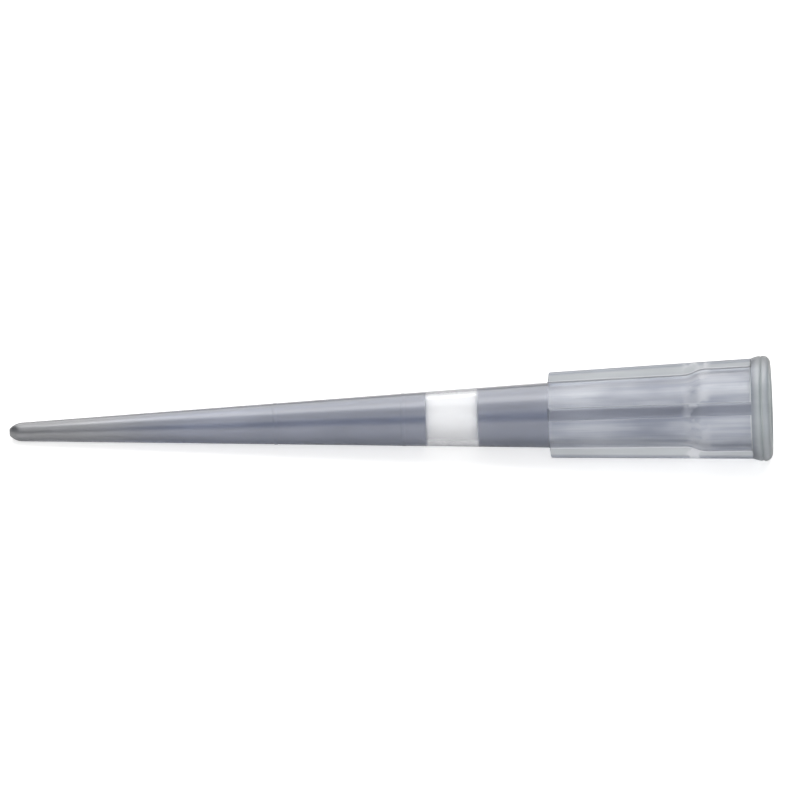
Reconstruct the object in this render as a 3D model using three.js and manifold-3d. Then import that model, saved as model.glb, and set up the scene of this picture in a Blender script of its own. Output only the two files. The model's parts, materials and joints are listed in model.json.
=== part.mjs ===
// Filter pipette tip, 0.2 mL size, lying at rest on its bead and its nose.
// Millimetres, +Z up. The tip's axis lies in the XZ plane, with the nose towards -X.
//
// The solids are made in the tip's own frame: the axis is +Y, and a station is the
// distance along it from the nose end. The group at the end lays the tip down.

import * as THREE from "three";
import { mergeVertices } from "three/addons/utils/BufferGeometryUtils.js";
import Module from "manifold-3d";

const wasm = await Module();
wasm.setup();

const DEGREE = Math.PI / 180;

// ---- Driving dimensions ----

const SEGMENTS = 64; // facets round the axis

// Shaft: a thin cone from the nose end to the ribs' front faces
const SHAFT_LENGTH = 37.5;
const SHAFT_NOSE_RADIUS = 0.617; // the cone's radius, carried on to the nose end
const SHAFT_HALF_ANGLE = 2.52 * DEGREE;
const SHAFT_WALL = 0.42;

// Nose: the shaft's end, rounded down to a narrow flat ring round the orifice
const NOSE_LENGTH = 0.9;
const NOSE_LAND_WIDTH = 0.04;
const NOSE_STEPS = 6;

// Graduations: fine raised rings moulded on the shaft
const GRADUATION_STATIONS = [18.5, 27.4];
const GRADUATION_WIDTH = 0.36;
const GRADUATION_HEIGHT = 0.03;
const GRADUATION_FLANK = 0.1;

// Hub: a tube that carries ribs, and widens near the mouth into the socket for the pipette
const HUB_LENGTH = 15.5;
const HUB_WALL = 0.4;
const TUBE_HALF_ANGLE = 1.25 * DEGREE;
const SOCKET_LENGTH = 4.6; // mouth to the wide end of the step
const STEP_LENGTH = 1.4;
const STEP_HEIGHT = 0.33;

// Ribs: their tips form a cone of their own, from the shoulder to the bead
const RIB_COUNT = 4;
const RIB_TURN = 30 * DEGREE; // from straight down to the lowest rib, as the tip lies
const RIB_WIDTH = 0.9;
const RIB_HEIGHT = 0.7; // at the shoulder
const RIB_TIP_HALF_ANGLE = 2.1 * DEGREE;
const RIB_EDGE_RADIUS = 0.25;
const RIB_EDGE_STEPS = 4;
const RIB_SINK = 0.4; // how far a rib runs on inside the bead

// Bead: the thick ring round the mouth
const BEAD_LENGTH = 1.35;
const BEAD_HEIGHT = 0.18; // above the ribs' tips
const BEAD_CORNER_RADIUS = 0.5;
const BEAD_STEPS = 5;

// Mouth: a short chamfer that leads the pipette's cone in
const LEAD_IN_LENGTH = 0.4;
const LEAD_IN_DEPTH = 0.25;

// Filter: a porous plug pressed into the shaft's bore
const FILTER_LENGTH = 3.6;
const FILTER_TO_SHOULDER = 4.9; // from the filter's upper face to the shoulder
const FILTER_CLEARANCE = 0.02; // radial, standing in for the press fit

// Densities in grams for each cubic millimetre, which settle how the tip lies
const BODY_DENSITY = 0.905e-3;
const FILTER_DENSITY = 0.5e-3;
const STEEPEST_TILT = 10 * DEGREE;
const TILT_STEPS = 80;

// ---- Stations and radii worked out from them ----

const tipLength = SHAFT_LENGTH + HUB_LENGTH;
const beadStart = tipLength - BEAD_LENGTH;
const socketStart = tipLength - SOCKET_LENGTH;
const stepStart = socketStart - STEP_LENGTH;
const leadInStart = tipLength - LEAD_IN_LENGTH;
const filterEnd = SHAFT_LENGTH - FILTER_TO_SHOULDER;
const filterStart = filterEnd - FILTER_LENGTH;

const shaftRadius = (station) => SHAFT_NOSE_RADIUS + station * Math.tan(SHAFT_HALF_ANGLE);
const shoulderRadius = shaftRadius(SHAFT_LENGTH);

const tubeRadius = (station) => {
  const taper = (station - SHAFT_LENGTH) * Math.tan(TUBE_HALF_ANGLE);
  return shoulderRadius + taper;
};
const socketRadius = (station) => tubeRadius(station) + STEP_HEIGHT;

const ribTipRadius = (station) => {
  const taper = (station - SHAFT_LENGTH) * Math.tan(RIB_TIP_HALF_ANGLE);
  return shoulderRadius + RIB_HEIGHT + taper;
};

// ---- Outlines, as points of (radius, station) ----

const point = (radius, station) => new THREE.Vector2(radius, station);

// Points on the arc round centre, from one angle to another, both measured from +radius.
function arc(centre, radius, fromAngle, toAngle, steps) {
  const points = [];
  for (let i = 0; i <= steps; i += 1) {
    const angle = fromAngle + ((toAngle - fromAngle) * i) / steps;
    points.push(point(centre.x + radius * Math.cos(angle), centre.y + radius * Math.sin(angle)));
  }
  return points;
}

// The bore from the nose end to the mouth.
const boreOutline = [
  point(SHAFT_NOSE_RADIUS - SHAFT_WALL, 0),
  point(shoulderRadius - SHAFT_WALL, SHAFT_LENGTH),
  point(tubeRadius(stepStart) - HUB_WALL, stepStart),
  point(socketRadius(socketStart) - HUB_WALL, socketStart),
  point(socketRadius(leadInStart) - HUB_WALL, leadInStart),
  point(socketRadius(leadInStart) - HUB_WALL + LEAD_IN_DEPTH, tipLength),
];

// The bore's radius at a station, between the two points of its outline that hold it.
function boreRadius(station) {
  const next = boreOutline.findIndex((end, i) => i > 0 && end.y >= station);
  const [start, end] = [boreOutline[next - 1], boreOutline[next]];
  return THREE.MathUtils.mapLinear(station, start.y, end.y, start.x, end.x);
}

// The nose's arc: it starts at the flat ring's outer edge and ends tangent to the shaft.
function noseOutline() {
  const edge = point(boreOutline[0].x + NOSE_LAND_WIDTH, 0);
  const tangent = point(shaftRadius(NOSE_LENGTH), NOSE_LENGTH);
  const outward = point(Math.cos(SHAFT_HALF_ANGLE), -Math.sin(SHAFT_HALF_ANGLE));
  const chord = tangent.clone().sub(edge);
  const radius = chord.lengthSq() / (2 * chord.dot(outward));
  const centre = tangent.clone().addScaledVector(outward, -radius);
  const startAngle = edge.clone().sub(centre).angle() - 2 * Math.PI;
  return arc(centre, radius, startAngle, -SHAFT_HALF_ANGLE, NOSE_STEPS);
}

// A raised ring with sloping flanks, seated on the shaft's cone.
function graduationOutline(station) {
  const start = station - GRADUATION_WIDTH / 2;
  const end = station + GRADUATION_WIDTH / 2;
  const crestStart = start + GRADUATION_FLANK;
  const crestEnd = end - GRADUATION_FLANK;
  return [
    point(shaftRadius(start), start),
    point(shaftRadius(crestStart) + GRADUATION_HEIGHT, crestStart),
    point(shaftRadius(crestEnd) + GRADUATION_HEIGHT, crestEnd),
    point(shaftRadius(end), end),
  ];
}

// The bead swells in a shallow arc from the ribs' tips to its crest, then turns a round
// corner on to the flat face of the rim.
function beadOutline() {
  const crestStation = tipLength - BEAD_CORNER_RADIUS;
  const startRadius = ribTipRadius(beadStart);
  const crestRadius = startRadius + BEAD_HEIGHT;
  const run = crestStation - beadStart;
  const swellRadius = (run ** 2 + BEAD_HEIGHT ** 2) / (2 * BEAD_HEIGHT);
  const swellCentre = point(crestRadius - swellRadius, crestStation);
  const swell = arc(swellCentre, swellRadius, -Math.asin(run / swellRadius), 0, BEAD_STEPS);
  const cornerCentre = point(crestRadius - BEAD_CORNER_RADIUS, crestStation);
  const corner = arc(cornerCentre, BEAD_CORNER_RADIUS, 0, Math.PI / 2, BEAD_STEPS);
  return [...swell, ...corner.slice(1)];
}

// ---- Solids ----

// A closed geometry becomes a solid once only its merged positions are left.
function solidFrom(geometry) {
  geometry.deleteAttribute("normal");
  geometry.deleteAttribute("uv");
  const merged = mergeVertices(geometry, 1e-5);
  return new wasm.Manifold(new wasm.Mesh({
    numProp: 3,
    vertProperties: new Float32Array(merged.attributes.position.array),
    triVerts: new Uint32Array(merged.index.array),
  }));
}

function geometryFrom(solid) {
  const mesh = solid.getMesh();
  const geometry = new THREE.BufferGeometry();
  geometry.setAttribute("position", new THREE.BufferAttribute(mesh.vertProperties, 3));
  geometry.setIndex(new THREE.BufferAttribute(mesh.triVerts, 1));
  geometry.computeVertexNormals();
  return geometry;
}

// The round part of the body: up the outside, over the rim and back down the bore.
function shellSolid() {
  const outline = [
    ...noseOutline(),
    ...GRADUATION_STATIONS.flatMap(graduationOutline),
    point(shoulderRadius, SHAFT_LENGTH),
    point(tubeRadius(stepStart), stepStart),
    point(socketRadius(socketStart), socketStart),
    point(socketRadius(beadStart), beadStart),
    ...beadOutline(),
    ...boreOutline.toReversed(),
  ];
  outline.push(outline[0].clone());
  return solidFrom(new THREE.LatheGeometry(outline, SEGMENTS));
}

// A rib from the side: square at the front, with its root half way into the tube's wall.
function ribSide() {
  const ribEnd = beadStart + RIB_SINK;
  const sink = HUB_WALL / 2;
  const side = new THREE.Shape([
    point(shoulderRadius - sink, SHAFT_LENGTH),
    point(ribTipRadius(SHAFT_LENGTH), SHAFT_LENGTH),
    point(ribTipRadius(ribEnd), ribEnd),
    point(socketRadius(ribEnd) - sink, ribEnd),
    point(socketRadius(socketStart) - sink, socketStart),
    point(tubeRadius(stepStart) - sink, stepStart),
  ]);
  const geometry = new THREE.ExtrudeGeometry(side, { depth: RIB_WIDTH, bevelEnabled: false });
  return solidFrom(geometry.translate(0, 0, -RIB_WIDTH / 2));
}

// A rib from the front: a bar whose outer edges are round, and whose tip climbs the cone.
function ribSection() {
  const half = RIB_WIDTH / 2;
  const tip = ribTipRadius(SHAFT_LENGTH);
  const section = new THREE.Shape();
  section.moveTo(0, -half);
  section.absarc(tip - RIB_EDGE_RADIUS, RIB_EDGE_RADIUS - half, RIB_EDGE_RADIUS, -Math.PI / 2, 0);
  section.absarc(tip - RIB_EDGE_RADIUS, half - RIB_EDGE_RADIUS, RIB_EDGE_RADIUS, 0, Math.PI / 2);
  section.lineTo(0, half);
  const geometry = new THREE.ExtrudeGeometry(section, {
    depth: HUB_LENGTH,
    curveSegments: RIB_EDGE_STEPS,
    bevelEnabled: false,
  });
  geometry.applyMatrix4(new THREE.Matrix4().makeShear(0, 0, 0, 0, Math.tan(RIB_TIP_HALF_ANGLE), 0));
  geometry.rotateX(-Math.PI / 2);
  return solidFrom(geometry.translate(0, SHAFT_LENGTH, 0));
}

// The tube carries its ribs evenly, with the lowest one turned away from straight down,
// where it would lift the bead off the surface.
function bodySolid() {
  const rib = geometryFrom(ribSide().intersect(ribSection()));
  let body = shellSolid();
  for (let i = 0; i < RIB_COUNT; i += 1) {
    const angle = Math.PI / 2 - RIB_TURN + (i * 2 * Math.PI) / RIB_COUNT;
    body = body.add(solidFrom(rib.clone().rotateY(angle)));
  }
  return body;
}

// The plug follows the bore, less its clearance.
function filterSolid() {
  const bends = boreOutline.filter((end) => end.y > filterStart && end.y < filterEnd);
  const stations = [filterStart, ...bends.map((end) => end.y), filterEnd];
  const wall = stations.map((y) => point(boreRadius(y) - FILTER_CLEARANCE, y));
  const outline = [point(0, filterStart), ...wall, point(0, filterEnd)];
  return solidFrom(new THREE.LatheGeometry(outline, SEGMENTS));
}

// ---- How the tip lies ----

// A solid's volume, and its moment about the nose end, summed over tetrahedra.
function volumeAndMoment(solid) {
  const { vertProperties, triVerts } = solid.getMesh();
  const corner = (i) => new THREE.Vector3().fromArray(vertProperties, 3 * triVerts[i]);
  let volume = 0;
  let moment = 0;
  for (let i = 0; i < triVerts.length; i += 3) {
    const [a, b, c] = [corner(i), corner(i + 1), corner(i + 2)];
    const tetrahedron = a.dot(b.clone().cross(c)) / 6;
    volume += tetrahedron;
    moment += (tetrahedron * (a.y + b.y + c.y)) / 4;
  }
  return { volume, moment };
}

function centreOfMassStation(body, filter) {
  const ofBody = volumeAndMoment(body);
  const ofFilter = volumeAndMoment(filter);
  const mass = BODY_DENSITY * ofBody.volume + FILTER_DENSITY * ofFilter.volume;
  return (BODY_DENSITY * ofBody.moment + FILTER_DENSITY * ofFilter.moment) / mass;
}

// The tip settles at the tilt that brings its centre of mass nearest to the surface
// under it. The height has one minimum, which is closed in on from both sides.
function restingTilt(body, centre) {
  const { vertProperties } = body.getMesh();
  const height = (tilt) => {
    let lowest = Infinity;
    for (let i = 0; i < vertProperties.length; i += 3) {
      const along = (vertProperties[i + 1] - centre) * Math.sin(tilt);
      lowest = Math.min(lowest, along + vertProperties[i + 2] * Math.cos(tilt));
    }
    return -lowest;
  };
  let low = -STEEPEST_TILT;
  let high = STEEPEST_TILT;
  for (let i = 0; i < TILT_STEPS; i += 1) {
    const third = (high - low) / 3;
    if (height(low + third) < height(high - third)) {
      high -= third;
    } else {
      low += third;
    }
  }
  return (low + high) / 2;
}

// ---- The part ----

const bodyMaterial = new THREE.MeshStandardMaterial({
  color: 0xaaaeb8,
  roughness: 0.35,
  metalness: 0,
});
const filterMaterial = new THREE.MeshStandardMaterial({
  color: 0xf2f5f5,
  roughness: 0.9,
  metalness: 0,
});

const body = bodySolid();
const filter = filterSolid();
const tilt = restingTilt(body, centreOfMassStation(body, filter));

const tipBody = new THREE.Mesh(geometryFrom(body), bodyMaterial);
tipBody.name = "tip_body";

const filterPlug = new THREE.Mesh(geometryFrom(filter), filterMaterial);
filterPlug.name = "filter_plug";

// The axis turns from +Y to +X, and then tilts up towards the mouth.
const tip = new THREE.Group();
tip.add(tipBody, filterPlug);
tip.rotation.set(0, -tilt, -Math.PI / 2);

// The origin is under the middle of the tip, on the surface that it lies on.
const bounds = new THREE.Box3().setFromObject(tip, true);
tip.position.set(-(bounds.min.x + bounds.max.x) / 2, 0, -bounds.min.z);

export default tip;
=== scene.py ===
"""Filter pipette tip, lying on a pale floor.

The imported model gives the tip's place, its axis and its length. The pieces here are the
same two as in the model, with smooth surfaces, rounded ribs and real materials. Lengths
are in metres. A station is the distance along the tip's axis from the nose end.
"""

import json
import math

import bpy
from mathutils import Matrix, Vector, noise


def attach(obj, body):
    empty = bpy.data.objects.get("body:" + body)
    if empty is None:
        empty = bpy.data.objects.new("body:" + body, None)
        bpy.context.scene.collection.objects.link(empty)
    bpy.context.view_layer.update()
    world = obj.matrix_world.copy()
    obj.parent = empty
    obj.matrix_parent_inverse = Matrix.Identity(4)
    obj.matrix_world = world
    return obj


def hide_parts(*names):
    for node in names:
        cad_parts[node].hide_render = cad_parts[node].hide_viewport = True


MM = 0.001
TURN = 2 * math.pi

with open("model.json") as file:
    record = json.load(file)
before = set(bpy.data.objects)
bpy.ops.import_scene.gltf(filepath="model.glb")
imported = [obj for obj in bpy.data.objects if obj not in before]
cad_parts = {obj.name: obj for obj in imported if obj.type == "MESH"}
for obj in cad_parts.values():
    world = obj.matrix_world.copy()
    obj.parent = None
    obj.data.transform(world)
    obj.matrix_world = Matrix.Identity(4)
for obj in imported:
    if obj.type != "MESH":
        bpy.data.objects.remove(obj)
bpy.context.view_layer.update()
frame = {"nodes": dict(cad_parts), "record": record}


# ---- The tip's own frame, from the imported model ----

MOUNTS = {mount["name"]: mount for mount in frame["record"]["mounts"]}
AXIS = Vector(MOUNTS["rim_face"]["axis"]).normalized()
SIDE = Vector((0, 1, 0))
UP = AXIS.cross(SIDE)  # square to the axis, in the vertical plane that holds it
if UP.z < 0:
    UP.negate()

# The rim's mount lies level with the axis, out to one side of it.
rim_point = Vector(MOUNTS["rim_face"]["pos_m"])
RIM_CENTRE = Vector((rim_point.x, 0, rim_point.z))
body_mesh = frame["nodes"]["tip_body"].data
TIP_LENGTH = -min((vertex.co - RIM_CENTRE).dot(AXIS) for vertex in body_mesh.vertices)
NOSE_CENTRE = RIM_CENTRE - AXIS * TIP_LENGTH
TILT = math.atan2(AXIS.z, AXIS.x)


# ---- Sizes and settings ----

# Shaft and nose
SHAFT_LENGTH = 37.5 * MM
SHAFT_NOSE_RADIUS = 0.617 * MM
SHAFT_SLOPE = math.tan(math.radians(2.52))
SHAFT_WALL = 0.42 * MM
NOSE_LENGTH = 0.9 * MM
NOSE_LAND_WIDTH = 0.04 * MM
GRADUATION_STATIONS = (18.5 * MM, 27.4 * MM)
GRADUATION_WIDTH = 0.36 * MM
GRADUATION_HEIGHT = 0.018 * MM

# Hub: tube, step and socket
HUB_WALL = 0.4 * MM
TUBE_SLOPE = math.tan(math.radians(1.25))
SOCKET_LENGTH = 4.6 * MM
STEP_LENGTH = 1.4 * MM
STEP_HEIGHT = 0.33 * MM

# Ribs
RIB_COUNT = 4
RIB_TURN = math.radians(30)  # from straight down to the lowest rib
RIB_WIDTH = 0.9 * MM
RIB_DRAFT = 0.03 * MM  # each side leans in by this much from root to tip
RIB_HEIGHT = 0.7 * MM
RIB_TIP_SLOPE = math.tan(math.radians(2.1))
RIB_FRONT_SLANT = 0.1 * MM
RIB_EDGE_RADIUS = 0.25 * MM
RIB_ROOT_RADIUS = 0.08 * MM
LEAST_RIB = 0.12 * MM  # a lower rib keeps this height's spacing of columns

# Bead and mouth
BEAD_LENGTH = 1.35 * MM
BEAD_HEIGHT = 0.18 * MM
BEAD_CORNER_RADIUS = 0.5 * MM
BEAD_ROOT_RADIUS = 0.16 * MM
BEAD_FRONT_SLANT = 0.05 * MM
BEAD_SWELL_STEPS = 30
GROOVE_FROM_RIM = 0.64 * MM
GROOVE_WIDTH = 0.22 * MM
GROOVE_DEPTH = 0.06 * MM
LEAD_IN_LENGTH = 0.4 * MM
LEAD_IN_DEPTH = 0.25 * MM
LIP_RADIUS = 0.1 * MM

# Filter
FILTER_LENGTH = 3.6 * MM
FILTER_TO_SHOULDER = 4.9 * MM
FILTER_CLEARANCE = 0.012 * MM
FILTER_EDGE_RADIUS = 0.12 * MM
FILTER_GRAIN = 0.007 * MM
FILTER_GRAIN_SIZE = 0.09 * MM

# Plastic's colours, each from its darkest streaks to its lightest
# The nose and shaft are tinted dark: painted shade
NOSE_DARK = (0.135, 0.14, 0.155)
NOSE_LIGHT = (0.215, 0.22, 0.235)
SHAFT_DARK = (0.108, 0.129, 0.195)
SHAFT_LIGHT = (0.20, 0.225, 0.31)
# The hub's tube is tinted lighter than the shaft: painted light
HUB_DARK = (0.40, 0.43, 0.515)
HUB_LIGHT = (0.93, 0.945, 0.97)
# The ribs' sides are tinted lighter than the tube: painted light
RIB_DARK = (0.60, 0.63, 0.64)
RIB_LIGHT = (0.72, 0.75, 0.76)
# The ribs' crests are tinted darker: painted shade
CREST_DARK = (0.28, 0.30, 0.36)
CREST_LIGHT = (0.38, 0.40, 0.47)
BEAD_DARK = (0.78, 0.82, 0.82)
BEAD_LIGHT = (0.88, 0.91, 0.91)
BEAD_EDGE_SHADE = (0.42, 0.47, 0.46)  # painted shade in the bead's groove and at its rim
# A painted highlight at the ribs' roots
RIB_ROOT = (0.97, 0.98, 1.0)
MARK_COLOUR = (0.92, 0.93, 0.95)
CLEAR_WALL = (1.0, 1.0, 1.0)

# Plastic's noise: scale, detail, roughness, and stretch along the axis
STREAKS = (2600, 3, 0.55, 0.03)
CLOUDS = (420, 2, 0.5, 0.5)
MARKS = (900, 2, 0.5, 0.8)
SHADE_RANGE = (0.14, 0.36)  # of streaks times clouds, from dark to light
MARK_RANGE = (0.49, 0.59)
MARK_STRENGTH = 0.95
SKIN_DEPTH = 0.01 * MM
SKIN_STRENGTH = 0.25

# How the plastic passes and reflects light
PLASTIC_IOR = 1.49
DRY_THROUGH = 0.96  # share of light let through, away from the plug
WETTED_THROUGH = 1.0  # and beside the plug
BEAD_CLOUD = 0.08  # taken off that share in the bead
NOSE_CLOUD = 0.5  # and at the nose
HAZE_COLOUR = (0.0, 0.04, 0.15, 1)
HAZE_DENSITY = 0.22 / MM  # how fast the plastic takes up light
ROUGHNESS = (0.18, 0.25)  # from clear to cloudy
HUB_FROST = 0.1  # added to it on the hub
COAT_ROUGHNESS = 0.3
COAT_IOR = 2.3
HUB_COAT = 0.4  # weight of the coat on the hub; it is 1 on the shaft
ROOT_HIGHLIGHT_TOP = 0.13 * MM  # how far the painted highlight at the ribs' roots climbs their sides

BEAD_START = TIP_LENGTH - BEAD_LENGTH
BEAD_GROOVE = TIP_LENGTH - GROOVE_FROM_RIM
SOCKET_START = TIP_LENGTH - SOCKET_LENGTH
STEP_START = SOCKET_START - STEP_LENGTH
FILTER_END = SHAFT_LENGTH - FILTER_TO_SHOULDER
FILTER_START = FILTER_END - FILTER_LENGTH
SHOULDER_RADIUS = SHAFT_NOSE_RADIUS + SHAFT_LENGTH * SHAFT_SLOPE


# ---- Outlines: points of (station, radius) ----

def shaft_radius(station):
    return SHAFT_NOSE_RADIUS + station * SHAFT_SLOPE


def smoothstep(value, low, high):
    t = min(max((value - low) / (high - low), 0), 1)
    return t * t * (3 - 2 * t)


def tube_radius(station):
    """The hub's tube between the ribs, with its smooth step up to the socket."""
    step = STEP_HEIGHT * smoothstep(station, STEP_START, SOCKET_START)
    return SHOULDER_RADIUS + (station - SHAFT_LENGTH) * TUBE_SLOPE + step


def rib_tip_radius(station):
    return SHOULDER_RADIUS + RIB_HEIGHT + (station - SHAFT_LENGTH) * RIB_TIP_SLOPE


def bore_radius(station):
    """The bore, from the orifice to the start of the lead-in."""
    if station <= SHAFT_LENGTH:
        return shaft_radius(station) - SHAFT_WALL
    wall = SHAFT_WALL + (HUB_WALL - SHAFT_WALL) * smoothstep(station, SHAFT_LENGTH, STEP_START)
    return tube_radius(station) - wall


def rounded(points, radii, steps):
    """The line through points, with each inner corner turned on an arc of its radius."""
    line = [Vector(points[0])]
    for i in range(1, len(points) - 1):
        corner = Vector(points[i])
        back = Vector(points[i - 1]) - corner
        on = Vector(points[i + 1]) - corner
        turn = math.pi - back.angle(on)
        room = 0.48 * min(back.length, on.length)
        reach = min(radii[i - 1] * math.tan(turn / 2), room)
        start = corner + back.normalized() * reach
        end = corner + on.normalized() * reach
        for j in range(steps + 1):
            t = j / steps
            line.append(start * (1 - t) ** 2 + corner * 2 * t * (1 - t) + end * t ** 2)
    line.append(Vector(points[-1]))
    return line


def arc(centre, radius, start, end, steps):
    """Points on an arc, with angles measured from the station axis."""
    points = []
    for i in range(steps + 1):
        angle = start + (end - start) * i / steps
        points.append(Vector(centre) + Vector((math.cos(angle), math.sin(angle))) * radius)
    return points


def spaced(start, end, step):
    """Stations from start to end, both left out, about step apart."""
    count = max(2, round((end - start) / step))
    return [start + (end - start) * i / count for i in range(1, count)]


def nose_outline():
    """The nose's arc, from the flat ring round the orifice to the shaft's cone."""
    edge = Vector((0, bore_radius(0) + NOSE_LAND_WIDTH))
    tangent = Vector((NOSE_LENGTH, shaft_radius(NOSE_LENGTH)))
    outward = Vector((-SHAFT_SLOPE, 1)).normalized()
    chord = tangent - edge
    radius = chord.length_squared / (2 * chord.dot(outward))
    centre = tangent - outward * radius
    start = math.atan2(edge.y - centre.y, edge.x - centre.x)
    end = math.atan2(outward.y, outward.x)
    return arc(centre, radius, start, end, 12)


def graduation_bump(station):
    """A low, round-topped ring at each graduation."""
    half = GRADUATION_WIDTH / 2
    bump = 0
    for ring in GRADUATION_STATIONS:
        away = abs(station - ring)
        bump += GRADUATION_HEIGHT * (1 - smoothstep(away, 0.35 * half, half))
    return bump


def shaft_outline():
    stations = spaced(NOSE_LENGTH, SHAFT_LENGTH - 0.3 * MM, 1.0 * MM)
    for ring in GRADUATION_STATIONS:
        near = ring - 0.7 * GRADUATION_WIDTH
        far = ring + 0.7 * GRADUATION_WIDTH
        stations += [near, far] + spaced(near, far, 0.03 * MM)
    stations += [SHAFT_LENGTH - 0.3 * MM, SHAFT_LENGTH - 0.1 * MM]
    return [Vector((s, shaft_radius(s) + graduation_bump(s))) for s in sorted(stations)]


def bead_outline():
    """The bead's swell from the ribs' tips to its crest, and its round corner."""
    crest_station = TIP_LENGTH - BEAD_CORNER_RADIUS
    start_radius = rib_tip_radius(BEAD_START)
    crest_radius = start_radius + BEAD_HEIGHT
    run = crest_station - BEAD_START
    swell = (run ** 2 + BEAD_HEIGHT ** 2) / (2 * BEAD_HEIGHT)
    lean = math.asin(run / swell)
    upright = math.pi / 2
    centre = (crest_station, crest_radius - swell)
    points = arc(centre, swell, upright + lean, upright, BEAD_SWELL_STEPS)
    for point in points:
        away = abs(point.x - BEAD_GROOVE)
        point.y -= GROOVE_DEPTH * (1 - smoothstep(away, 0, GROOVE_WIDTH / 2))
    centre = (crest_station, crest_radius - BEAD_CORNER_RADIUS)
    return points + arc(centre, BEAD_CORNER_RADIUS, upright, 0, 10)[1:]


# ---- Rings: one closed loop of points round the axis for each station ----

HALF_PERIOD = math.pi / RIB_COUNT
GAP_COLUMNS = 12
CORNER_STEPS = 4
TIP_COLUMNS = 3


def half_section(base, tip):
    """Half of one rib and half of its gap, as (angle, radius) from the gap to the rib."""
    height = max(tip - base, LEAST_RIB)
    squeeze = (tip - base) / height
    edge = base * math.sin(HALF_PERIOD)
    root = RIB_WIDTH / 2 + RIB_DRAFT / 2
    top = RIB_WIDTH / 2 - RIB_DRAFT / 2
    corners = [(edge, 0), (root, 0), (top, height), (0, height)]
    line = rounded(corners, (RIB_ROOT_RADIUS, RIB_EDGE_RADIUS), CORNER_STEPS)
    gap = [line[0].lerp(line[1], i / GAP_COLUMNS) for i in range(GAP_COLUMNS)]
    crown = [line[-2].lerp(line[-1], i / TIP_COLUMNS) for i in range(1, TIP_COLUMNS + 1)]
    section = []
    for across, rise in [*gap, *line[1:-1], *crown]:
        radius = base + rise * squeeze
        section.append((math.asin(min(across / radius, 1)), radius))
    return section


def rib_ring(station, base, tip):
    """A ring that follows the ribs, from base between them to tip on them."""
    half = half_section(base, tip)
    ring = []
    for i in range(RIB_COUNT):
        middle = 2 * HALF_PERIOD * i - math.pi / 2 - RIB_TURN
        ring += [(station, middle - angle, radius) for angle, radius in half[:-1]]
        ring += [(station, middle + angle, radius) for angle, radius in half[:0:-1]]
    return ring


def round_ring(station, radius, evenness=1.0):
    """A circle. Its columns are even, or at evenness 0 those of a rib's section."""
    ring = rib_ring(station, radius, radius)
    count = len(ring)
    first = ring[0][1]
    even = [first + TURN * i / count for i in range(count)]
    return [
        (station, angle + (level - angle) * evenness, radius)
        for (station, angle, radius), level in zip(ring, even)
    ]


def place(station, angle, radius):
    """A point of the tip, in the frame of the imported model."""
    outward = SIDE * math.cos(angle) + UP * math.sin(angle)
    return NOSE_CENTRE + AXIS * station + outward * radius


def loft(name, rings, closed):
    """A mesh through rings of equal length. Closed joins the last ring to the first."""
    count = len(rings[0])
    vertices = [place(*point) for ring in rings for point in ring]
    faces = []
    last = len(rings) if closed else len(rings) - 1
    for i in range(last):
        here = i * count
        there = (i + 1) % len(rings) * count
        for j in range(count):
            k = (j + 1) % count
            faces.append((here + j, here + k, there + k, there + j))
    if not closed:
        faces.append(tuple(reversed(range(count))))
        faces.append(tuple(range((len(rings) - 1) * count, len(rings) * count)))
    mesh = bpy.data.meshes.new(name)
    mesh.from_pydata(vertices, [], faces)
    mesh.validate()
    mesh.update()
    mesh.shade_smooth()
    piece = bpy.data.objects.new(name, mesh)
    bpy.context.scene.collection.objects.link(piece)
    return piece


# ---- Tip body ----

def shoulder_rings():
    """The ribs' front faces: they rise from the shaft on a slight slant."""
    start = SHAFT_LENGTH
    end = SHAFT_LENGTH + RIB_FRONT_SLANT
    run = end + 0.6 * MM
    corners = [(start - 0.1 * MM, 0), (start, 0), (end, 1), (run, 1)]
    scaled = [(s, share * RIB_HEIGHT) for s, share in corners]
    line = rounded(scaled, (0.05 * MM, 0.12 * MM), 6)
    rings = []
    for station, rise in line[1:-1]:
        base = tube_radius(station)
        share = rise / RIB_HEIGHT
        tip = base + (rib_tip_radius(station) - base) * share
        rings.append(rib_ring(station, base, tip))
    return rings


def hub_rings():
    """The ribbed stretch, up to the foot of the bead's front face."""
    start = SHAFT_LENGTH + RIB_FRONT_SLANT + 0.3 * MM
    end = BEAD_START - 0.4 * MM
    stations = spaced(start, STEP_START, 0.8 * MM)
    stations += [STEP_START, SOCKET_START, end]
    stations += spaced(STEP_START, SOCKET_START, 0.14 * MM)
    stations += spaced(SOCKET_START, end, 0.5 * MM)
    return [rib_ring(s, tube_radius(s), rib_tip_radius(s)) for s in sorted(stations)]


def bead_rings():
    """The bead's front face between the ribs, then its outline."""
    outline = bead_outline()
    foot = BEAD_START
    brow = BEAD_START + BEAD_FRONT_SLANT
    swell_start = outline[0]
    corners = [
        (foot - 0.4 * MM, tube_radius(foot)),
        (foot, tube_radius(foot)),
        (brow, swell_start.y),
        outline[2],
    ]
    front = rounded(corners, (BEAD_ROOT_RADIUS, 0.1 * MM), 6)
    rings = []
    for station, base in front[1:-1]:
        tip = max(rib_tip_radius(station), base)
        rings.append(rib_ring(station, base, tip))
    for station, radius in outline[2:]:
        evenness = smoothstep(station, BEAD_START, TIP_LENGTH - BEAD_CORNER_RADIUS)
        rings.append(round_ring(station, radius, evenness))
    return rings


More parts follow.
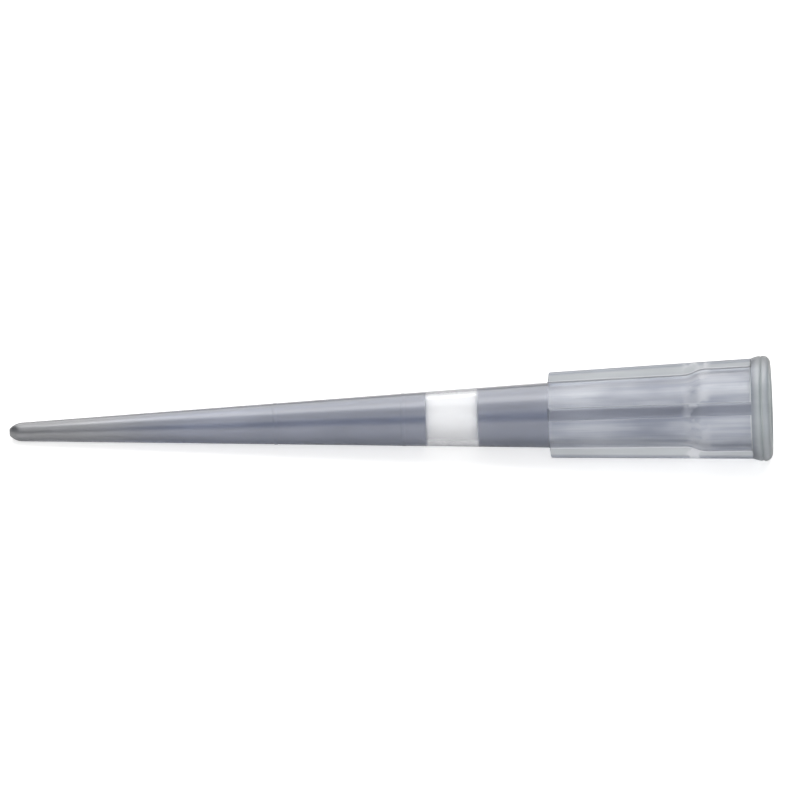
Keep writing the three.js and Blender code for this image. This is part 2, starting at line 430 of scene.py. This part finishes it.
def bore_rings():
    """Over the rim, down the lead-in and the bore, and out at the orifice."""
    lead_in_start = TIP_LENGTH - LEAD_IN_LENGTH
    mouth = bore_radius(lead_in_start)
    corners = [
        (TIP_LENGTH, mouth + LEAD_IN_DEPTH + 0.35 * MM),
        (TIP_LENGTH, mouth + LEAD_IN_DEPTH),
        (lead_in_start, mouth),
        (lead_in_start - 0.5 * MM, bore_radius(lead_in_start - 0.5 * MM)),
    ]
    outline = rounded(corners, (LIP_RADIUS, 0.3 * MM), 5)[1:]
    down = spaced(0, lead_in_start - 0.5 * MM, 0.75 * MM)
    down += spaced(STEP_START, SOCKET_START, 0.14 * MM)
    outline += [Vector((s, bore_radius(s))) for s in sorted(down, reverse=True)]
    outline.append(Vector((0, bore_radius(0))))
    return [round_ring(station, radius) for station, radius in outline]


def body_piece():
    rings = [round_ring(station, radius) for station, radius in nose_outline()]
    for station, radius in shaft_outline():
        evenness = 1 - smoothstep(station, 30 * MM, SHAFT_LENGTH)
        rings.append(round_ring(station, radius, evenness))
    rings += shoulder_rings() + hub_rings() + bead_rings() + bore_rings()
    return loft("tip_moulding", rings, closed=True)


# ---- Filter plug ----

def filter_outline():
    start = bore_radius(FILTER_START) - FILTER_CLEARANCE
    end = bore_radius(FILTER_END) - FILTER_CLEARANCE
    corners = [
        (FILTER_START, 0.05 * MM),
        (FILTER_START, start),
        (FILTER_END, end),
        (FILTER_END, 0.05 * MM),
    ]
    line = rounded(corners, (FILTER_EDGE_RADIUS, FILTER_EDGE_RADIUS), 4)
    outline = [line[0]]
    for point in line[1:]:
        last = outline[-1]
        steps = max(1, round((point - last).length / (0.07 * MM)))
        outline += [last.lerp(point, i / steps) for i in range(1, steps + 1)]
    return outline


def filter_piece():
    """The plug, with the shallow pits and grains of its sintered surface."""
    columns = 144
    rings = []
    for station, radius in filter_outline():
        rings.append([(station, TURN * i / columns, radius) for i in range(columns)])
    piece = loft("porous_plug", rings, closed=False)
    for vertex in piece.data.vertices:
        grain = noise.noise(vertex.co / FILTER_GRAIN_SIZE)
        vertex.co += vertex.normal * FILTER_GRAIN * (grain - 1)
    piece.data.update()
    return piece


# ---- Materials ----

def material(name):
    """A new node material, its tree and its Principled shader."""
    made = bpy.data.materials.new(name)
    made.use_nodes = True
    tree = made.node_tree
    return made, tree, tree.nodes["Principled BSDF"]


def link(tree, source, target):
    tree.links.new(source, target)


def tip_coordinates(tree):
    """Coordinates in the tip's own frame: X is the station, and the axis is at Y = Z = 0."""
    coordinates = tree.nodes.new("ShaderNodeTexCoord")
    turned = tree.nodes.new("ShaderNodeMapping")
    turned.inputs["Rotation"].default_value = (0, TILT, 0)
    turned.inputs["Location"].default_value = (-NOSE_CENTRE.dot(AXIS), 0, -NOSE_CENTRE.dot(UP))
    link(tree, coordinates.outputs["Object"], turned.inputs["Vector"])
    return turned.outputs["Vector"]


def scaled(tree, vector, scale):
    node = tree.nodes.new("ShaderNodeMapping")
    node.inputs["Scale"].default_value = scale
    link(tree, vector, node.inputs["Vector"])
    return node.outputs["Vector"]


def station_of(tree, place):
    """The distance along the axis from the nose end."""
    split = tree.nodes.new("ShaderNodeSeparateXYZ")
    link(tree, place, split.inputs["Vector"])
    return split.outputs["X"]


def radius_of(tree, place):
    """The distance from the axis."""
    node = tree.nodes.new("ShaderNodeVectorMath")
    node.operation = "LENGTH"
    link(tree, scaled(tree, place, (0, 1, 1)), node.inputs[0])
    return node.outputs["Value"]


def noise_texture(tree, vector, scale, detail, roughness):
    texture = tree.nodes.new("ShaderNodeTexNoise")
    texture.inputs["Scale"].default_value = scale
    texture.inputs["Detail"].default_value = detail
    texture.inputs["Roughness"].default_value = roughness
    link(tree, vector, texture.inputs["Vector"])
    return texture.outputs["Fac"]


def map_range(tree, value, source, target, smooth=False):
    """value taken from the range source to the range target."""
    node = tree.nodes.new("ShaderNodeMapRange")
    node.interpolation_type = "SMOOTHSTEP" if smooth else "LINEAR"
    node.inputs["From Min"].default_value = source[0]
    node.inputs["From Max"].default_value = source[1]
    node.inputs["To Min"].default_value = target[0]
    node.inputs["To Max"].default_value = target[1]
    link(tree, value, node.inputs["Value"])
    return node.outputs["Result"]


def math_node(tree, operation, first, second):
    node = tree.nodes.new("ShaderNodeMath")
    node.operation = operation
    link(tree, first, node.inputs[0])
    link(tree, second, node.inputs[1])
    return node.outputs["Value"]


def mix_colour(tree, factor, first, second):
    """first where factor is 0, and second where it is 1. Each is a colour or a socket."""
    node = tree.nodes.new("ShaderNodeMix")
    node.data_type = "RGBA"
    link(tree, factor, node.inputs["Factor"])
    for value, target in ((first, node.inputs["A"]), (second, node.inputs["B"])):
        if isinstance(value, bpy.types.NodeSocket):
            link(tree, value, target)
        else:
            target.default_value = (*value, 1)
    return node.outputs["Result"]


def bump(tree, shader, height, distance, strength):
    node = tree.nodes.new("ShaderNodeBump")
    node.inputs["Strength"].default_value = strength
    node.inputs["Distance"].default_value = distance
    link(tree, height, node.inputs["Height"])
    link(tree, node.outputs["Normal"], shader.inputs["Normal"])


def between(tree, value, start, end, edge):
    """1 from start to end and 0 outside, with a soft edge each side."""
    enter = map_range(tree, value, (start - edge, start + edge), (0, 1), True)
    leave = map_range(tree, value, (end - edge, end + edge), (1, 0), True)
    return math_node(tree, "MULTIPLY", enter, leave)


def rib_masks(tree, station, radius):
    """1 above the hub's tube, 1 on the ribs' crests, where shade is painted, and 1 at the ribs'
    roots, where a highlight is painted.
    """
    ends = (SHAFT_LENGTH, STEP_START)
    tube = map_range(tree, station, ends, [tube_radius(end) for end in ends])
    tube.node.clamp = False
    step = map_range(tree, station, (STEP_START, SOCKET_START), (0, STEP_HEIGHT), True)
    height = math_node(tree, "SUBTRACT", radius, math_node(tree, "ADD", tube, step))
    ends = (SHAFT_LENGTH, BEAD_START)
    tip = map_range(tree, station, ends, [rib_tip_radius(end) for end in ends])
    depth = math_node(tree, "SUBTRACT", tip, radius)
    raised = map_range(tree, height, (0.03 * MM, 0.2 * MM), (0, 1), True)
    crest = map_range(tree, depth, (0.28 * MM, 0.1 * MM), (0, 1), True)
    root = between(tree, height, 0.03 * MM, ROOT_HIGHLIGHT_TOP, 0.02 * MM)
    return raised, crest, root


def bore_mask(tree, station, radius):
    """1 on the wall of the shaft's bore."""
    ends = (NOSE_LENGTH, SHAFT_LENGTH)
    shaft = map_range(tree, station, ends, [shaft_radius(end) for end in ends])
    below = math_node(tree, "SUBTRACT", shaft, radius)
    inside = map_range(tree, below, (0.12 * MM, 0.2 * MM), (0, 1), True)
    ends = (NOSE_LENGTH, SHAFT_LENGTH + 0.3 * MM)
    return math_node(tree, "MULTIPLY", inside, between(tree, station, *ends, 0.1 * MM))


def grain_of(tree, place, kind):
    """One of the plastic's noises, stretched along the axis."""
    scale, detail, roughness, stretch = kind
    return noise_texture(tree, scaled(tree, place, (stretch, 1, 1)), scale, detail, roughness)


def shaft_colour(tree, station, shade):
    """The shaft's streaks, which turn to the nose's greyer ones towards its end. Both are tinted
    dark: painted shade.
    """
    nose = mix_colour(tree, shade, NOSE_DARK, NOSE_LIGHT)
    shaft = mix_colour(tree, shade, SHAFT_DARK, SHAFT_LIGHT)
    past_nose = map_range(tree, station, (4 * MM, 13 * MM), (0, 1), True)
    return mix_colour(tree, past_nose, nose, shaft)


def hub_colour(tree, station, radius, shade):
    """The tube's streaks in a lighter tint, which is painted light, and the ribs with lighter
    sides (painted light), darker crests (painted shade) and pale roots (a painted highlight).
    """
    raised, crest, root = rib_masks(tree, station, radius)
    tube = mix_colour(tree, shade, HUB_DARK, HUB_LIGHT)
    rib = mix_colour(tree, shade, RIB_DARK, RIB_LIGHT)
    rib = mix_colour(tree, crest, rib, mix_colour(tree, shade, CREST_DARK, CREST_LIGHT))
    rib = mix_colour(tree, root, rib, RIB_ROOT)
    return mix_colour(tree, math_node(tree, "MAXIMUM", raised, root), tube, rib)


def bead_colour(tree, station, shade):
    """The bead's pale streaks, with painted shade in its groove and at its rim."""
    bead = mix_colour(tree, shade, BEAD_DARK, BEAD_LIGHT)
    groove = between(
        tree, station, BEAD_GROOVE - 0.1 * MM, BEAD_GROOVE + 0.1 * MM, 0.12 * MM
    )
    rim = map_range(tree, station, (TIP_LENGTH - 0.28 * MM, TIP_LENGTH - 0.1 * MM), (0, 1), True)
    return mix_colour(tree, math_node(tree, "MAXIMUM", groove, rim), bead, BEAD_EDGE_SHADE)


def with_marks(tree, place, station, plastic):
    """plastic, with the cloudy marks at the tube's step."""
    marks = grain_of(tree, place, MARKS)
    marks = map_range(tree, marks, MARK_RANGE, (0, MARK_STRENGTH), True)
    by_step = between(tree, station, STEP_START, SOCKET_START + 0.3 * MM, 0.3 * MM)
    marks = math_node(tree, "MULTIPLY", marks, by_step)
    return mix_colour(tree, marks, plastic, MARK_COLOUR)


def polypropylene():
    """Cloudy translucent plastic: streaks of flow along the axis, and a fine skin.

    Where the plug is pressed against it, the wall is wetted and clear."""
    made, tree, shader = material("translucent_polypropylene")
    place = tip_coordinates(tree)
    station = station_of(tree, place)
    radius = radius_of(tree, place)
    streaks = grain_of(tree, place, STREAKS)
    clouds = grain_of(tree, place, CLOUDS)
    shade = map_range(tree, math_node(tree, "MULTIPLY", streaks, clouds), SHADE_RANGE, (0, 1))
    hub_front = (SHAFT_LENGTH, SHAFT_LENGTH + RIB_FRONT_SLANT)
    on_hub = map_range(tree, station, hub_front, (0, 1), True)
    on_bead = map_range(tree, station, (BEAD_START, BEAD_START + 0.6 * MM), (0, 1), True)
    wetted = between(tree, station, FILTER_START, FILTER_END, 0.08 * MM)

    # The tints by region are painted shade and light: a dark shaft and nose, a lighter hub and rib
    # sides, darker crests, pale rib roots, and a dark bead groove and rim
    shaft = shaft_colour(tree, station, shade)
    hub = hub_colour(tree, station, radius, shade)
    plastic = mix_colour(tree, on_hub, shaft, hub)
    plastic = mix_colour(tree, on_bead, plastic, bead_colour(tree, station, shade))
    plastic = with_marks(tree, place, station, plastic)
    clear_wall = math_node(tree, "MAXIMUM", wetted, bore_mask(tree, station, radius))
    colour = mix_colour(tree, clear_wall, plastic, CLEAR_WALL)
    link(tree, colour, shader.inputs["Base Color"])

    clear = map_range(tree, wetted, (0, 1), (DRY_THROUGH, WETTED_THROUGH))
    cloudy = map_range(tree, on_bead, (0, 1), (0, BEAD_CLOUD))
    nose_cloud = map_range(tree, station, (0.5 * MM, 3 * MM), (NOSE_CLOUD, 0), True)
    cloudy = math_node(tree, "MAXIMUM", cloudy, nose_cloud)
    link(tree, math_node(tree, "SUBTRACT", clear, cloudy), shader.inputs["Transmission Weight"])
    coat = map_range(tree, on_hub, (0, 1), (1, HUB_COAT))
    dry = map_range(tree, wetted, (0, 1), (1, 0))
    link(tree, math_node(tree, "MULTIPLY", coat, dry), shader.inputs["Coat Weight"])

    roughness = map_range(tree, clouds, (0.3, 0.7), ROUGHNESS)
    frosted = map_range(tree, on_hub, (0, 1), (0, HUB_FROST))
    roughness = math_node(tree, "ADD", roughness, frosted)
    link(tree, roughness, shader.inputs["Roughness"])
    shader.inputs["IOR"].default_value = PLASTIC_IOR
    shader.inputs["Coat Roughness"].default_value = COAT_ROUGHNESS
    shader.inputs["Coat IOR"].default_value = COAT_IOR
    bump(tree, shader, streaks, SKIN_DEPTH, SKIN_STRENGTH)

    haze = tree.nodes.new("ShaderNodeVolumeAbsorption")
    haze.inputs["Color"].default_value = HAZE_COLOUR
    haze.inputs["Density"].default_value = HAZE_DENSITY
    link(tree, haze.outputs["Volume"], tree.nodes["Material Output"].inputs["Volume"])
    return made


def porous_polyethylene():
    """White sintered grains, lit through by the light that enters round them."""
    made, tree, shader = material("porous_polyethylene")
    grains = noise_texture(tree, tip_coordinates(tree), 9000, 3, 0.6)
    shade = map_range(tree, grains, (0.3, 0.7), (0, 1))
    colour = mix_colour(tree, shade, (0.92, 0.93, 0.94), (0.98, 0.98, 0.98))
    link(tree, colour, shader.inputs["Base Color"])
    shader.inputs["Roughness"].default_value = 0.85
    shader.inputs["Subsurface Weight"].default_value = 0.8
    shader.inputs["Subsurface Radius"].default_value = (1.0, 1.0, 1.0)
    shader.inputs["Subsurface Scale"].default_value = 1.2 * MM
    bump(tree, shader, grains, 0.02 * MM, 0.6)
    return made


# ---- Studio ----

ELEVATION = RIB_TURN  # one rib faces the camera
PICTURE_SLOPE = math.radians(1.83)  # how steeply the axis climbs across the picture
PICTURE_WIDTH = 55.6 * MM
PICTURE_OFFSET = (0.66 * MM, 1.4 * MM)  # from the tip's middle to the picture's centre
CAMERA_DISTANCE = 0.3

# A lamp's light is 1 where it alone renders white as white, straight on.
LAMP_DISTANCE = 0.45
LAMP_SIZE = 0.6
KEY_ELEVATION = math.radians(123)  # over 90 degrees it stands behind the tip
KEY_SIZE = 0.66
KEY_LIGHT = 1.08
TOP_ELEVATION = math.radians(90)
TOP_LIGHT = 0.24
CARD_ELEVATION = math.radians(76)
CARD_LIGHT = 0.46
FILL_ELEVATION = math.radians(20)
FILL_LIGHT = 1.0
WORLD_LOW = 0.9
WORLD_HIGH = 0.08

FLOOR_COLOUR = (0.82, 0.82, 0.82, 1)
FLOOR_HALF = 1.5
FLOOR_WHITENS = (0.06, 0.2)  # from the origin, where the floor starts and ends turning white
FLOOR_LIFT = 0.55  # light added to the floor for the camera
FLOOR_THROUGH = 0.8  # share of plain white in the floor, seen through plastic


def studio_floor():
    """A pale floor that keeps a faint shadow, and turns white away from the tip.

    Seen through the plastic it is nearly plain white."""
    mesh = bpy.data.meshes.new("floor")
    half = FLOOR_HALF
    corners = [(-half, -half, 0), (half, -half, 0), (half, half, 0), (-half, half, 0)]
    mesh.from_pydata(corners, [], [(0, 1, 2, 3)])
    floor = bpy.data.objects.new("floor", mesh)
    bpy.context.scene.collection.objects.link(floor)
    made, tree, shader = material("pale_floor")
    shader.inputs["Base Color"].default_value = FLOOR_COLOUR
    shader.inputs["Roughness"].default_value = 0.9
    shader.inputs["Specular IOR Level"].default_value = 0.1
    shader.inputs["Emission Color"].default_value = (1, 1, 1, 1)
    path = tree.nodes.new("ShaderNodeLightPath")
    coordinates = tree.nodes.new("ShaderNodeTexCoord")
    reach = tree.nodes.new("ShaderNodeVectorMath")
    reach.operation = "LENGTH"
    link(tree, coordinates.outputs["Object"], reach.inputs[0])
    seen = math_node(tree, "MAXIMUM", path.outputs["Is Camera Ray"], path.outputs["Is Glossy Ray"])
    lift = map_range(tree, reach.outputs["Value"], FLOOR_WHITENS, (0, 1), True)
    glow = math_node(tree, "MULTIPLY", seen, lift)
    direct = map_range(tree, path.outputs["Is Camera Ray"], (0, 1), (0, FLOOR_LIFT))
    glow = math_node(tree, "ADD", glow, direct)
    link(tree, glow, shader.inputs["Emission Strength"])
    white = tree.nodes.new("ShaderNodeEmission")
    mix = tree.nodes.new("ShaderNodeMixShader")
    through = map_range(tree, path.outputs["Is Transmission Ray"], (0, 1), (0, FLOOR_THROUGH))
    link(tree, through, mix.inputs["Fac"])
    link(tree, shader.outputs["BSDF"], mix.inputs[1])
    link(tree, white.outputs["Emission"], mix.inputs[2])
    link(tree, mix.outputs["Shader"], tree.nodes["Material Output"].inputs["Surface"])
    mesh.materials.append(made)


def studio_world(low, high):
    """White to the camera and through plastic. As a light, pale low down and dim above."""
    world = bpy.data.worlds.new("studio")
    bpy.context.scene.world = world
    world.use_nodes = True
    tree = world.node_tree
    background = tree.nodes["Background"]
    background.inputs["Color"].default_value = (1, 1, 1, 1)
    coordinates = tree.nodes.new("ShaderNodeTexCoord")
    split = tree.nodes.new("ShaderNodeSeparateXYZ")
    link(tree, coordinates.outputs["Generated"], split.inputs["Vector"])
    light = map_range(tree, split.outputs["Z"], (0.0, 0.35), (low, high), True)
    path = tree.nodes.new("ShaderNodeLightPath")
    seen = math_node(
        tree, "MAXIMUM", path.outputs["Is Camera Ray"], path.outputs["Is Transmission Ray"]
    )
    strength = math_node(tree, "MAXIMUM", seen, light)
    link(tree, strength, background.inputs["Strength"])


def softbox(name, elevation, size, light):
    """A square lamp aimed at the tip, at an angle up from the camera's horizon."""
    lamp = bpy.data.lights.new(name, "AREA")
    lamp.shape = "SQUARE"
    lamp.size = size
    lamp.energy = light * math.pi ** 2 * LAMP_DISTANCE ** 2
    box = bpy.data.objects.new(name, lamp)
    direction = Vector((0, -math.cos(elevation), math.sin(elevation)))
    box.location = (NOSE_CENTRE + RIM_CENTRE) / 2 + direction * LAMP_DISTANCE
    box.rotation_euler = direction.to_track_quat("Z", "Y").to_euler()
    bpy.context.scene.collection.objects.link(box)
    return box


def studio_camera():
    """Looks down on the tip's side, rolled so that its axis climbs as it should."""
    back = Vector((0, -math.cos(ELEVATION), math.sin(ELEVATION)))
    right = Vector((1, 0, 0))
    up = back.cross(right)
    natural = math.atan2(AXIS.dot(up), AXIS.dot(right))
    roll = Matrix.Rotation(natural - PICTURE_SLOPE, 3, back)
    right = roll @ right
    up = roll @ up
    middle = (NOSE_CENTRE + RIM_CENTRE) / 2
    aim = middle + right * PICTURE_OFFSET[0] + up * PICTURE_OFFSET[1]
    data = bpy.data.cameras.new("camera")
    data.type = "ORTHO"
    data.ortho_scale = PICTURE_WIDTH
    data.clip_start = 0.001
    data.clip_end = 10
    camera = bpy.data.objects.new("camera", data)
    turn = Matrix((right, up, back)).transposed().to_4x4()
    camera.matrix_world = Matrix.Translation(aim + back * CAMERA_DISTANCE) @ turn
    bpy.context.scene.collection.objects.link(camera)
    bpy.context.scene.camera = camera


# ---- The scene ----

body = body_piece()
body.data.materials.append(polypropylene())
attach(body, "root")
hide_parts("tip_body")

plug = filter_piece()
plug.data.materials.append(porous_polyethylene())
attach(plug, "root")
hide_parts("filter_plug")

studio_camera()
studio_floor()
studio_world(WORLD_LOW, WORLD_HIGH)
softbox("key", KEY_ELEVATION, KEY_SIZE, KEY_LIGHT)
top = softbox("top", TOP_ELEVATION, LAMP_SIZE, TOP_LIGHT)
top.visible_glossy = False
card = softbox("card", CARD_ELEVATION, LAMP_SIZE, CARD_LIGHT)
card.visible_diffuse = False
card.visible_transmission = False
fill = softbox("fill", FILL_ELEVATION, LAMP_SIZE, FILL_LIGHT)
fill.visible_glossy = False
bpy.context.scene.view_settings.view_transform = "Standard"
